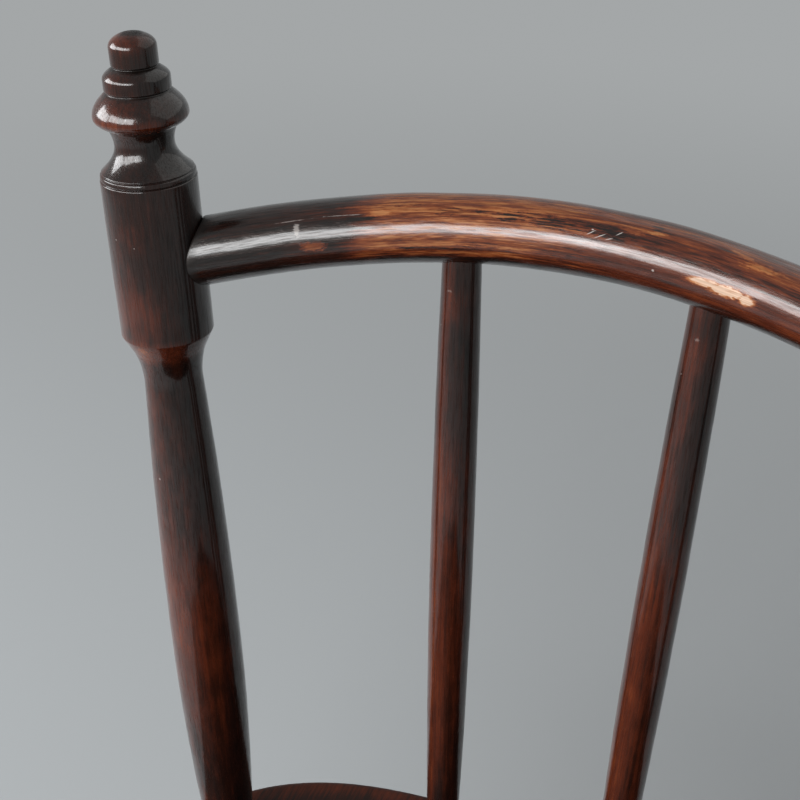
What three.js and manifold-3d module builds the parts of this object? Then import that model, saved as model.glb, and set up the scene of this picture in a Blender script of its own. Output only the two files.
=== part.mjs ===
// A worn, dark-stained turned side chair with a plank seat, in millimetres.
// +Z is up and the front of the chair faces -Y. The origin is on the floor,
// under the middle of the whole chair.

import * as THREE from 'three';
import { mergeVertices } from 'three/addons/utils/BufferGeometryUtils.js';
import Module from 'manifold-3d';

const wasm = await Module();
wasm.setup();

// Fits
const clearance = 0.3; // round every peg in its socket, and between the rail's ends and the posts

// Back posts, whose axes lean outwards and backwards going up
const railHeight = 780; // where the rail's axis meets the post axes
const railHalfSpan = 182.6; // from the middle of the chair to a post axis, at that height
const postSplay = 4; // degrees
const postRake = 4.6; // degrees
const barrelRadius = 21; // the plain drum that the rail goes into
const barrelAbove = 37.5; // top of the drum above the rail's axis
const barrelBelow = 33.5; // bottom of the drum below it
const barrelChamfer = 8.5;
const barrelFootRadius = 16.6; // at the end of the chamfer
const postNeckRadius = 13.5; // under the drum
const postNeckDrop = 16; // from the chamfer down to the neck
const postSwellRadius = 17.5; // the fullest place between the neck and the seat
const postSwellShare = 0.45; // its height, as a share of the way from the seat to the neck
const postEndRadius = 12.5; // the end that sits in the seat
const postSocketDepth = 24;

// Finial on a post: the length of each stretch going up, and the radius that it ends with
const shoulderLength = 4.5;
const shoulderRadius = 20.2;
const lowerCoveLength = 12;
const coveRadius = 12.9; // the narrowest place of the cove
const upperCoveLength = 7.5;
const upperCoveRadius = 15;
const discUndersideLength = 5;
const discRadius = 20.5; // the widest tier
const discTopLength = 10.5;
const discTopRadius = 14.2;
const ringLength = 5;
const ringRadius = 14.4; // the second tier
const ringTopLength = 5;
const ringTopRadius = 9.8;
const knobLength = 8;
const knobRadius = 10.2; // the round-topped knob
const knobDomeLength = 6;

// Crest rail, bent from one round rod between the two posts
const railRadius = 15.2;
const railBow = 42.8; // how far its middle stands behind its ends
const railArch = 24.1; // how far its middle stands above its ends
const railFullness = 0.18; // share of the bow that gathers at the middle
const railTenonRadius = 9;
const railTenonPast = 6; // how far the tenon passes the post's axis
const railTenonGrip = 18; // how far its root stays inside the rail's own end

// Spindles between the rail and the seat, fanned in step with the posts
const spindleCount = 2;
const spindleSpacing = 108.5; // between neighbours, at the rail
const spindleTopRadius = 8.7;
const spindleSwellRadius = 10.6; // half way down
const spindleEndRadius = 8;
const spindleTopDepth = 2; // its top end stops this far below the rail's axis
const spindleSocketDepth = 20;

// Seat plank: its outline is a rounded square, a little wider at the front
const seatHeight = 440;
const seatThickness = 34;
const seatDepth = 400;
const seatFrontWidth = 432;
const seatBackWidth = 408;
const seatSquareness = 3.2; // 2 is an ellipse, and more is squarer
const seatEdge = 6; // rounding along the top and bottom edges
const seatBehindSpindles = 28; // from the spindles' centres to the back edge
const dishDepth = 8; // the shallow hollow of the sitting place
const dishWidth = 330;
const dishLength = 290;
const dishForward = 10; // its middle is this far in front of the seat's middle

// Legs, splayed from blind sockets under the seat
const frontLegHalfSpan = 138; // from the middle of the chair to a socket, at the seat's underside
const backLegHalfSpan = 120;
const frontLegInset = 64; // from the seat's front edge to the front sockets
const backLegInset = 48; // from the posts, at the seat, forward to the back sockets
const frontFootSpread = 46; // how far a foot stands out sideways from its socket
const backFootSpread = 56;
const frontFootReach = 42; // how far a front foot stands forward of its socket
const backFootReach = 74; // how far a back foot stands behind its socket
const legFootRadius = 13;
const legSwellRadius = 18.5;
const legSwellShare = 0.42; // its height, as a share of the leg
const legRingShare = 0.86; // height of the turned ring
const legRingRadius = 18;
const legRingHalfHeight = 5;
const legNeckRadius = 14;
const legEndRadius = 12.5;
const legSocketDepth = 22;

// Stretchers between the legs
const stretcherEndRadius = 7;
const stretcherSwellRadius = 10.5; // half way along
const stretcherStop = 1.5; // past its own radius, how far short of the leg's axis an end stops
const frontLowerHeight = 182;
const frontUpperHeight = 302;
const sideLowerHeight = 142;
const sideUpperHeight = 262;
const backHeight = 222;

// How finely the round shapes are cut into faces
const postSides = 24;
const legSides = 20;
const slimSides = 14;
const bendSteps = 3; // along each curved stretch of a turned outline
const railSides = 20;
const railSteps = 32;
const seatSides = 60;
const dishSides = 32;
const dishRings = 4;

const left = -1;
const right = 1;
const postLean = new THREE.Vector3(
  Math.tan(THREE.MathUtils.degToRad(postSplay)),
  Math.tan(THREE.MathUtils.degToRad(postRake)),
  1,
);
const seatUnderside = seatHeight - seatThickness;

// Finish of the wood: a glossy brown-black stain, redder and barer where it is rubbed
const darkStain = { color: 0x2a130c, roughness: 0.32, metalness: 0 };
const rubbedStain = { color: 0x4c2312, roughness: 0.3, metalness: 0 };
const seatStain = { color: 0x3a1b10, roughness: 0.38, metalness: 0 };

function piece(name, geometry, finish) {
  const mesh = new THREE.Mesh(geometry, new THREE.MeshStandardMaterial(finish));
  mesh.name = name;
  return mesh;
}

// A closed mesh, with its doubled corners merged, as a solid in the frame of the mesh's parent
function toSolid(mesh) {
  mesh.updateMatrix();
  const geometry = mesh.geometry.clone().applyMatrix4(mesh.matrix);
  geometry.deleteAttribute('normal');
  geometry.deleteAttribute('uv');
  const merged = mergeVertices(geometry, 1e-4);
  return new wasm.Manifold(
    new wasm.Mesh({
      numProp: 3,
      vertProperties: new Float32Array(merged.attributes.position.array),
      triVerts: new Uint32Array(merged.index.array),
    }),
  );
}

// Gives a mesh the shape of a solid, and leaves the mesh where it stands
function takeShape(mesh, solid) {
  const shape = solid.getMesh();
  const geometry = new THREE.BufferGeometry();
  geometry.setAttribute('position', new THREE.BufferAttribute(shape.vertProperties, 3));
  geometry.setIndex(new THREE.BufferAttribute(shape.triVerts, 1));
  geometry.applyMatrix4(mesh.matrix.clone().invert());
  geometry.computeVertexNormals();
  mesh.geometry = geometry;
}

function cut(mesh, ...cutters) {
  const solid = cutters.reduce((rest, cutter) => rest.subtract(toSolid(cutter)), toSolid(mesh));
  takeShape(mesh, solid);
}

function join(mesh, ...others) {
  const solid = others.reduce((sum, other) => sum.add(toSolid(other)), toSolid(mesh));
  takeShape(mesh, solid);
}

// Stands a mesh that was turned about Y on a start point, pointing at a goal
function aim(mesh, start, goal) {
  const direction = goal.clone().sub(start).normalize();
  mesh.position.copy(start);
  mesh.quaternion.setFromUnitVectors(new THREE.Vector3(0, 1, 0), direction);
  return mesh;
}

// The outline of a turned piece, drawn from the bottom up and starting on the axis. Its curved
// stretches are parabolas that run along the axis at one of their ends.
class Outline {
  constructor(height) {
    this.points = [new THREE.Vector2(0, height)];
  }

  draw(length, radius, bend, steps = bendSteps) {
    const from = this.points.at(-1);
    for (let step = 1; step <= steps; step += 1) {
      const share = step / steps;
      const x = THREE.MathUtils.lerp(from.x, radius, bend(share));
      this.points.push(new THREE.Vector2(x, from.y + length * share));
    }
    return this;
  }

  straight(length, radius) {
    return this.draw(length, radius, (share) => share, 1);
  }

  // Curves away from the axis's direction, to a new radius
  leave(length, radius) {
    return this.draw(length, radius, (share) => share ** 2);
  }

  // Curves into the axis's direction, at a new radius
  settle(length, radius) {
    return this.draw(length, radius, (share) => 1 - (1 - share) ** 2);
  }

  // A quarter of an ellipse, closing on the axis
  dome(length) {
    return this.draw(length, 0, (share) => 1 - Math.sqrt(1 - share ** 2));
  }

  close() {
    return this.straight(0, 0);
  }
}

function turning(name, outline, sides, finish) {
  return piece(name, new THREE.LatheGeometry(outline.points, sides), finish);
}

// A plain round rod on the axis of a turned piece, from one height on that axis to another
function rodOn(turned, radius, from, to, sides) {
  const geometry = new THREE.CylinderGeometry(radius, radius, to - from, sides);
  const rod = new THREE.Mesh(geometry.translate(0, (from + to) / 2, 0));
  rod.position.copy(turned.position);
  rod.quaternion.copy(turned.quaternion);
  return rod;
}

// Point of the crest rail's axis: x runs evenly from post to post, and the arch is a parabola.
// The bow is a parabola too, drawn in a little towards the middle.
class RailCurve extends THREE.Curve {
  getPoint(share, target = new THREE.Vector3()) {
    const across = 2 * share - 1;
    const rise = 1 - across * across;
    const bow = railBow * rise * (1 - railFullness + railFullness * rise);
    return target.set(railHalfSpan * across, bow, railHeight + railArch * rise);
  }
}

const railCurve = new RailCurve();

// Point on a post's axis, this far above the rail's axis along the post
function postPoint(side, along) {
  const direction = postLean.clone().multiply(new THREE.Vector3(side, 1, 1)).normalize();
  return new THREE.Vector3(side * railHalfSpan, 0, railHeight).addScaledVector(direction, along);
}

const seatDrop = (railHeight - seatHeight) * postLean.length(); // from the rail to the seat, along a post
const railMiddle = railCurve.getPoint(0.5);

function spindleTop(across) {
  return railCurve.getPoint((across / railHalfSpan + 1) / 2);
}

function spindleLean(across) {
  return postLean.clone().multiply(new THREE.Vector3(across / railHalfSpan, 1, 1));
}

// Where the axis of a spindle goes through the seat's top
function spindleFoot(across) {
  const top = spindleTop(across);
  return top.addScaledVector(spindleLean(across), seatHeight - top.z);
}

const seatBack = spindleFoot(spindleSpacing / 2).y + seatBehindSpindles;
const seatFront = seatBack - seatDepth;

function makePost(name, side) {
  const balusterLength = seatDrop - barrelBelow - barrelChamfer - postNeckDrop;
  const outline = new Outline(-seatDrop - postSocketDepth)
    .straight(0, postEndRadius)
    .straight(postSocketDepth, postEndRadius)
    .settle(balusterLength * postSwellShare, postSwellRadius)
    .leave(balusterLength * (1 - postSwellShare), postNeckRadius)
    .leave(postNeckDrop, barrelFootRadius)
    .straight(barrelChamfer, barrelRadius)
    .straight(barrelBelow + barrelAbove, barrelRadius)
    .straight(shoulderLength, shoulderRadius)
    .settle(lowerCoveLength, coveRadius)
    .leave(upperCoveLength, upperCoveRadius)
    .settle(discUndersideLength, discRadius)
    .leave(discTopLength, discTopRadius)
    .straight(0, ringRadius)
    .straight(ringLength, ringRadius)
    .leave(ringTopLength, ringTopRadius)
    .straight(0, knobRadius)
    .straight(knobLength, knobRadius)
    .dome(knobDomeLength);
  return aim(turning(name, outline, postSides, darkStain), postPoint(side, 0), postPoint(side, 1));
}

// The tenon on one end of the rail, in line with the rail's own end; extra is the room round it
function railTenon(side, extra) {
  const share = side === left ? 0 : 1;
  const end = railCurve.getPoint(share);
  const inwards = railCurve.getTangent(share).multiplyScalar(-side);
  const length = railTenonPast + barrelRadius + railTenonGrip + extra;
  const radius = railTenonRadius + extra;
  const geometry = new THREE.CylinderGeometry(radius, radius, length, slimSides);
  const tenon = new THREE.Mesh(geometry.translate(0, length / 2 - railTenonPast - extra, 0));
  return aim(tenon, end, end.clone().add(inwards));
}

function makeRail(posts) {
  const section = new THREE.Shape().absarc(0, 0, railRadius, 0, Math.PI * 2);
  const geometry = new THREE.ExtrudeGeometry(section, {
    curveSegments: railSides / 2,
    steps: railSteps,
    extrudePath: railCurve,
  });
  const rail = piece('crest_rail', geometry, rubbedStain);
  const drums = posts.map((post) =>
    rodOn(post, barrelRadius + clearance, -barrelBelow, barrelAbove, postSides),
  );
  cut(rail, ...drums);
  join(rail, railTenon(left, 0), railTenon(right, 0));
  return rail;
}

function makeSpindle(index) {
  const across = (index - (spindleCount - 1) / 2) * spindleSpacing;
  const top = spindleTop(across);
  const foot = spindleFoot(across);
  const length = top.distanceTo(foot);
  const shownLength = length - railRadius;
  const outline = new Outline(-spindleSocketDepth)
    .straight(0, spindleEndRadius)
    .straight(spindleSocketDepth, spindleEndRadius)
    .settle(shownLength / 2, spindleSwellRadius)
    .leave(shownLength / 2, spindleTopRadius)
    .straight(railRadius - spindleTopDepth, spindleTopRadius)
    .close();
  const mesh = aim(turning(`spindle_${index + 1}`, outline, slimSides, darkStain), foot, top);
  const railHole = rodOn(
    mesh,
    spindleTopRadius + clearance,
    shownLength / 2,
    length - spindleTopDepth + clearance,
    slimSides,
  );
  const seatHole = rodOn(
    mesh,
    spindleEndRadius + clearance,
    -spindleSocketDepth - clearance,
    seatThickness,
    slimSides,
  );
  return { mesh, railHole, seatHole };
}

// Half of the seat's outline is as wide as the taper says at that depth, and squared by its exponent
function seatOutline() {
  const shape = new THREE.Shape();
  const squared = (value) => Math.sign(value) * Math.abs(value) ** (2 / seatSquareness);
  for (let step = 0; step < seatSides; step += 1) {
    const angle = (step / seatSides) * Math.PI * 2;
    const depthShare = squared(Math.sin(angle));
    const halfWidth = THREE.MathUtils.lerp(seatFrontWidth, seatBackWidth, (depthShare + 1) / 2) / 2;
    const x = halfWidth * squared(Math.cos(angle));
    const y = (depthShare * seatDepth) / 2;
    if (step === 0) shape.moveTo(x, y);
    else shape.lineTo(x, y);
  }
  return shape.closePath();
}

// The hollow of the seat is a shallow cap of a sphere, stretched to an oval
function makeDish() {
  const cap = [];
  for (let ring = 0; ring <= dishRings; ring += 1) {
    const share = ring / dishRings;
    cap.push(new THREE.Vector2(share, -dishDepth * (1 - share * share)));
  }
  cap.push(new THREE.Vector2(1, dishDepth), new THREE.Vector2(0, dishDepth));
  const geometry = new THREE.LatheGeometry(cap, dishSides);
  geometry.rotateX(Math.PI / 2);
  geometry.scale(dishWidth / 2, dishLength / 2, 1);
  const dish = new THREE.Mesh(geometry);
  dish.position.set(0, (seatFront + seatBack) / 2 - dishForward, seatHeight);
  return dish;
}

function makeSeat(posts, spindles, legs) {
  const geometry = new THREE.ExtrudeGeometry(seatOutline(), {
    depth: seatThickness - 2 * seatEdge,
    bevelThickness: seatEdge,
    bevelSize: seatEdge,
    bevelOffset: -seatEdge,
    bevelSegments: 3,
  });
  const seat = piece('seat', geometry, seatStain);
  seat.position.set(0, (seatFront + seatBack) / 2, seatUnderside + seatEdge);
  const postHoles = posts.map((post) =>
    rodOn(post, postEndRadius + clearance, -seatDrop - postSocketDepth - clearance, 0, postSides),
  );
  const spindleHoles = spindles.map(({ seatHole }) => seatHole);
  const legHoles = legs.map(({ mesh, length }) =>
    rodOn(mesh, legEndRadius + clearance, 0, length + legSocketDepth + clearance, legSides),
  );
  cut(seat, makeDish(), ...postHoles, ...spindleHoles, ...legHoles);
  return seat;
}

// A leg is turned a little too long below, for the floor to level its foot
function makeLeg(name, socket, foot) {
  const length = foot.distanceTo(socket);
  const swellHeight = legSwellShare * length;
  const ringFoot = legRingShare * length - legRingHalfHeight;
  const outline = new Outline(-legFootRadius)
    .straight(0, legFootRadius)
    .straight(legFootRadius, legFootRadius)
    .settle(swellHeight, legSwellRadius)
    .leave(ringFoot - swellHeight, legNeckRadius)
    .settle(legRingHalfHeight, legRingRadius)
    .leave(legRingHalfHeight, legNeckRadius)
    .straight(length - ringFoot - 2 * legRingHalfHeight, legEndRadius)
    .straight(legSocketDepth, legEndRadius)
    .close();
  const mesh = aim(turning(name, outline, legSides, darkStain), foot, socket);
  return { mesh, length, socket, foot };
}

function makeLegs() {
  const frontDepth = seatFront + frontLegInset;
  const backDepth = postPoint(right, -seatDrop).y - backLegInset;
  const makeFront = (name, side) =>
    makeLeg(
      name,
      new THREE.Vector3(side * frontLegHalfSpan, frontDepth, seatUnderside),
      new THREE.Vector3(side * (frontLegHalfSpan + frontFootSpread), frontDepth - frontFootReach, 0),
    );
  const makeBack = (name, side) =>
    makeLeg(
      name,
      new THREE.Vector3(side * backLegHalfSpan, backDepth, seatUnderside),
      new THREE.Vector3(side * (backLegHalfSpan + backFootSpread), backDepth + backFootReach, 0),
    );
  return {
    frontLeft: makeFront('front_left_leg', left),
    frontRight: makeFront('front_right_leg', right),
    backLeft: makeBack('back_left_leg', left),
    backRight: makeBack('back_right_leg', right),
  };
}

function onLeg(leg, height) {
  return leg.foot.clone().lerp(leg.socket, height / seatUnderside);
}

function makeStretcher(name, fromLeg, toLeg, height) {
  const start = onLeg(fromLeg, height);
  const goal = onLeg(toLeg, height);
  const length = start.distanceTo(goal);
  const gap = stretcherEndRadius + stretcherStop;
  const hidden = legSwellRadius - gap;
  const shownLength = length - 2 * legSwellRadius;
  const outline = new Outline(gap)
    .straight(0, stretcherEndRadius)
    .straight(hidden, stretcherEndRadius)
    .settle(shownLength / 2, stretcherSwellRadius)
    .leave(shownLength / 2, stretcherEndRadius)
    .straight(hidden, stretcherEndRadius)
    .close();
  const mesh = aim(turning(name, outline, slimSides, darkStain), start, goal);
  const bore = rodOn(
    mesh,
    stretcherEndRadius + clearance,
    gap - clearance,
    length - gap + clearance,
    slimSides,
  );
  return { mesh, bore, legs: [fromLeg, toLeg] };
}

function makeStretchers({ frontLeft, frontRight, backLeft, backRight }) {
  return [
    makeStretcher('front_lower_stretcher', frontLeft, frontRight, frontLowerHeight),
    makeStretcher('front_upper_stretcher', frontLeft, frontRight, frontUpperHeight),
    makeStretcher('left_lower_stretcher', frontLeft, backLeft, sideLowerHeight),
    makeStretcher('left_upper_stretcher', frontLeft, backLeft, sideUpperHeight),
    makeStretcher('right_lower_stretcher', frontRight, backRight, sideLowerHeight),
    makeStretcher('right_upper_stretcher', frontRight, backRight, sideUpperHeight),
    makeStretcher('back_stretcher', backLeft, backRight, backHeight),
  ];
}

// The floor, as a block wider than the chair, that levels the legs' feet
function makeFloor() {
  const size = railHeight * 2;
  const floor = new THREE.Mesh(new THREE.BoxGeometry(size, size, size));
  floor.position.set(0, 0, -size / 2);
  return floor;
}

function makeChair() {
  const posts = [makePost('left_back_post', left), makePost('right_back_post', right)];
  const rail = makeRail(posts);
  posts.forEach((post, index) => cut(post, railTenon([left, right][index], clearance)));

  const spindles = Array.from({ length: spindleCount }, (_, index) => makeSpindle(index));
  cut(rail, ...spindles.map(({ railHole }) => railHole));

  const legs = makeLegs();
  const stretchers = makeStretchers(legs);
  const floor = makeFloor();
  for (const leg of Object.values(legs)) {
    const bores = stretchers.filter((stretcher) => stretcher.legs.includes(leg)).map(({ bore }) => bore);
    cut(leg.mesh, floor, ...bores);
  }
  const seat = makeSeat(posts, spindles, Object.values(legs));

  const back = new THREE.Group();
  back.add(...posts, rail, ...spindles.map(({ mesh }) => mesh));
  const base = new THREE.Group();
  base.add(...Object.values(legs).map(({ mesh }) => mesh), ...stretchers.map(({ mesh }) => mesh));

  // The pieces stand with the post axes at y = 0 where the rail meets them, so they are moved
  // forward or back until the seat's front and the rail's back are equally far from the origin.
  const middle = new THREE.Group();
  middle.position.y = -(railMiddle.y + railRadius + seatFront) / 2;
  middle.add(seat, back, base);
  const chair = new THREE.Group();
  chair.add(middle);
  return chair;
}

export default makeChair();
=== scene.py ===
import math

import bpy
import numpy as np
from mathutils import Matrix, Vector


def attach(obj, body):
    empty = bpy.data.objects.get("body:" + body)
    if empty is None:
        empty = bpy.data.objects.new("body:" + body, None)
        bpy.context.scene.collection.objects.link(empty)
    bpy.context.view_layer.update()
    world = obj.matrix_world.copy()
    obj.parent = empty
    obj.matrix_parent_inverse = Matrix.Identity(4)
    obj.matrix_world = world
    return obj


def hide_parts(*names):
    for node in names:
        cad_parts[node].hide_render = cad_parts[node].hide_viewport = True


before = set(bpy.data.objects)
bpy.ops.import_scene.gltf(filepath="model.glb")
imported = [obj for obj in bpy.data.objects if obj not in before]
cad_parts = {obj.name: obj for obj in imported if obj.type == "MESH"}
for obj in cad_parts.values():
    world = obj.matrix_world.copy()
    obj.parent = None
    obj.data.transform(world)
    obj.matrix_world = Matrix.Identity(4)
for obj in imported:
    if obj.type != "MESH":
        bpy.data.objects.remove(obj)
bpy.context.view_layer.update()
print("frame loaded")

# Lengths below are millimetres, and the mesh code turns them into metres.
millimetre = 0.001

# The chair's frame, as the CAD has it: where the post axes meet the rail's axis, and how they lean.
chair = {
    "jointForward": 152.361,  # y of that meeting point
    "jointHeight": 780.0,
    "halfSpan": 182.6,
    "splay": math.tan(math.radians(4.0)),
    "rake": math.tan(math.radians(4.6)),
    "seatTop": 440.0,
    "seatUnder": 406.0,
    "seatMiddle": -10.361,  # y of the seat's middle
}
# Along a post's axis, from the rail's axis down to the top of the seat
leanLength = math.sqrt(1 + chair["splay"] ** 2 + chair["rake"] ** 2)
seatDrop = (chair["jointHeight"] - chair["seatTop"]) * leanLength

# How finely outlines are drawn, and how uneven and streaky the pieces are
drawing = {
    "stretchSteps": 60,  # points on each stretch of a turned outline
    "easeSteps": 6,  # points on each rounded edge
    "easeHalf": 4,  # half of the window that rounds it, in such points
    "bendWeight": 1.4,  # how much closer the rings stand where an outline bends
    "wearStep": 0.5,  # mm between the points at which an edge is compared with its surroundings
    "waves": 9,  # sine waves in the unevenness of hand work
    "wavesRound": 4,  # each goes fewer than this many times round a piece
    "waveTotal": 4.2,
    "streakWaves": (3, 5, 8, 11, 15, 19, 24, 29, 37, 46),  # times round a piece, the fine ones weaker
    "streakFading": 0.3,
    "streakTotal": 3.0,
    "woodSpread": 400,  # mm: each piece is cut from another place in the wood
    "unrolled": 15.2,  # mm that one radian round a piece measures in the map "place"
    "frayBare": 0.75,  # how much thin finish frays along the grain, and what whole finish has less
    "frayLess": 0.35,
}


def unit(vectors):
    return vectors / np.linalg.norm(vectors, axis=-1, keepdims=True)


def smoothRise(value, low, high):
    # 0 below low, 1 above high, with a smooth S between them
    share = np.clip((value - low) / (high - low), 0, 1)
    return share * share * (3 - 2 * share)


def hump(value, low, high, soft):
    # 1 between low and high, with a smooth S of the length soft across each of them
    half = soft / 2
    return smoothRise(value, low - half, low + half) * (1 - smoothRise(value, high - half, high + half))


def band(place, spot):
    # A band of wear. spot is how much finish it takes, where it starts and ends, and how softly.
    loss, low, high, soft = spot
    return loss * hump(place, low, high, soft)


# How a radius changes along a stretch, both as shares
bends = {
    "straight": lambda share: share,
    "leave": lambda share: share**2,
    "settle": lambda share: 1 - (1 - share) ** 2,
    "dome": lambda share: 1 - np.sqrt(np.maximum(0, 1 - share**2)),
}


def outline(start, startRadius, stretches):
    # Heights and radii of a turned outline. Each stretch (bend, length, radius) goes from the last
    # radius to its own, and its bend says how the radius changes along the length.
    heights, radii = [np.array([float(start)])], [np.array([float(startRadius)])]
    for bend, length, radius in stretches:
        share = np.linspace(0, 1, drawing["stretchSteps"])[1:]
        heights.append(heights[-1][-1] + length * share)
        radii.append(radii[-1][-1] + (radius - radii[-1][-1]) * bends[bend](share))
    return np.concatenate(heights), np.concatenate(radii)


def ease(heights, radii, edge):
    # The outline with its sharp edges rounded over about edge mm: it is sampled evenly along its
    # own length and blurred with a bell-shaped window.
    run = np.concatenate([[0], np.cumsum(np.hypot(np.diff(heights), np.diff(radii)))])
    even = np.arange(0, run[-1], edge / drawing["easeSteps"])
    half = drawing["easeHalf"]
    window = np.hanning(2 * half + 1)
    window = window / window.sum()
    eased = []
    for values in (heights, radii):
        line = np.interp(even, run, values)
        before = 2 * line[0] - line[half:0:-1]
        after = 2 * line[-1] - line[-2:-2 - half:-1]
        eased.append(np.convolve(np.concatenate([before, line, after]), window, "valid"))
    return eased


def thin(heights, radii, rings):
    # Keeps that many rings, closer together where the outline bends.
    length = np.hypot(np.diff(heights), np.diff(radii))
    heading = np.unwrap(np.arctan2(np.diff(radii), np.diff(heights)))
    turn = np.abs(np.diff(heading, prepend=heading[0]))
    weight = length / length.sum() + drawing["bendWeight"] * turn / max(turn.sum(), 1e-9)
    place = np.concatenate([[0], np.cumsum(weight)])
    index = np.interp(np.linspace(0, place[-1], rings), place, np.arange(len(heights)))
    steps = np.arange(len(heights))
    return np.interp(index, steps, heights), np.interp(index, steps, radii)


def handTurned(along, angle, waves, wobble, seed):
    # How far hand work stays under the true surface, up to wobble: a sum of sine waves with whole
    # turns round the piece, the longest and the shortest of them given in mm.
    longest, shortest = waves
    draw = np.random.default_rng(seed)
    total = 0
    for _ in range(drawing["waves"]):
        length = draw.uniform(shortest, longest)
        turns = draw.integers(0, drawing["wavesRound"])
        total = total + np.sin(2 * np.pi * along / length + turns * angle + draw.uniform(0, 2 * np.pi))
    return wobble * np.clip(0.5 + 0.5 * total / drawing["waveTotal"], 0, 1)


def streaky(angle, seed):
    # Uneven all round a piece and the same along it, between about -1 and 1: wear that follows the grain
    draw = np.random.default_rng(seed)
    total = 0
    for turns in drawing["streakWaves"]:
        wave = np.sin(turns * angle + draw.uniform(0, 2 * np.pi))
        total = total + wave / turns ** drawing["streakFading"]
    return total / drawing["streakTotal"]


def edgeWear(heights, radii, reach):
    # Positive where the outline stands proud of its own average over reach mm, negative in a hollow.
    step = drawing["wearStep"]
    even = np.arange(heights[0], heights[-1], step)
    line = np.interp(even, heights, radii)
    width = max(3, int(2 * reach / step) | 1)
    window = np.hanning(width + 2)[1:-1]
    padded = np.pad(line, width // 2, mode="edge")
    return np.interp(heights, even, line - np.convolve(padded, window / window.sum(), "valid"))


def woodPlace(seed):
    return np.random.default_rng(seed).uniform(-drawing["woodSpread"], drawing["woodSpread"], 3)


def roundGrain(radius, turn, along, seed):
    return np.stack([radius * np.cos(turn), radius * np.sin(turn), along], -1) + woodPlace(seed)


def facing(turn):
    # 1 at the front of a turned piece and 0 at its back
    return 0.5 + 0.5 * np.cos(turn)


def frayed(cover):
    return drawing["frayBare"] - drawing["frayLess"] * cover


def closed(values):
    # The grid with its first column once more after the last
    return np.concatenate([values, values[:, :1]], 1)


def putGrid(name, points, along, around, fields):
    # A closed skin from a grid of rings: points[ring, place on ring]. The first and last ring are
    # closed to a point in their middles. along and around give the UV map "place" in metres, with
    # one more column than the ring has points, so that the seam doesn't run backwards.
    rings, sides = points.shape[:2]
    poles = points[[0, -1]].mean(axis=1)
    vertices = np.concatenate([poles[:1], points.reshape(-1, 3), poles[1:]])
    ring, side = np.meshgrid(np.arange(rings - 1), np.arange(sides), indexing="ij")
    corner = [(ring, side), (ring, side + 1), (ring + 1, side + 1), (ring + 1, side)]
    quads = np.stack([1 + r * sides + s % sides for r, s in corner], -1).reshape(-1, 4)
    quadMap = np.stack([np.stack([along[r, s], around[r, s]], -1) for r, s in corner], -2).reshape(-1, 2)
    edge = np.arange(sides)
    lastPole = len(vertices) - 1
    lastRing = 1 + (rings - 1) * sides
    fans = np.concatenate([
        np.stack([0 * edge, 1 + (edge + 1) % sides, 1 + edge], -1),
        np.stack([0 * edge + lastPole, lastRing + edge, lastRing + (edge + 1) % sides], -1),
    ])
    ends = []
    for row, order in ((0, (1, 0)), (-1, (0, 1))):
        middle = np.stack([along[row, :-1], (around[row, :-1] + around[row, 1:]) / 2], -1)
        rim = [np.stack([along[row, edge + step], around[row, edge + step]], -1) for step in order]
        ends.append(np.stack([middle, *rim], -2).reshape(-1, 2))
    cornerMap = np.concatenate([quadMap, *ends]) * millimetre

    mesh = bpy.data.meshes.new(name)
    mesh.vertices.add(len(vertices))
    mesh.vertices.foreach_set("co", (vertices * millimetre).astype(np.float32).ravel())
    corners = np.concatenate([quads.ravel(), fans.ravel()])
    mesh.loops.add(len(corners))
    mesh.loops.foreach_set("vertex_index", corners.astype(np.int32))
    starts = np.concatenate([np.arange(len(quads)) * 4, len(quads) * 4 + np.arange(len(fans)) * 3])
    mesh.polygons.add(len(starts))
    mesh.polygons.foreach_set("loop_start", starts.astype(np.int32))
    mesh.update(calc_edges=True)
    mesh.validate()
    mesh.shade_smooth()
    mesh.uv_layers.new(name="place").data.foreach_set("uv", cornerMap.astype(np.float32).ravel())
    for field, values in fields.items():
        vector = values.ndim == 3
        flat = values.reshape(rings * sides, -1)
        first, last = (np.reshape(values[row].mean(axis=0), (1, -1)) for row in (0, -1))
        layer = mesh.attributes.new(field, "FLOAT_VECTOR" if vector else "FLOAT", "POINT")
        layer.data.foreach_set(
            "vector" if vector else "value", np.concatenate([first, flat, last]).astype(np.float32).ravel()
        )
    piece = bpy.data.objects.new(name, mesh)
    bpy.context.collection.objects.link(piece)
    return piece


turning = {
    "waves": (120, 24),  # mm: the longest and the shortest of the hand-turned unevenness
    "wearReach": 3.0,  # mm over which an edge is compared with its surroundings
    "creases": 0.8,  # painted shade and duller gloss in a hollow, for each mm that it lies under its surroundings
    "levelling": 30,  # mm of a foot over which its rings turn level with the floor
    "lying": 0.8,  # a piece whose axis has more of Y than this has its front on top
    "tipRadius": 0.02,
}


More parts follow.
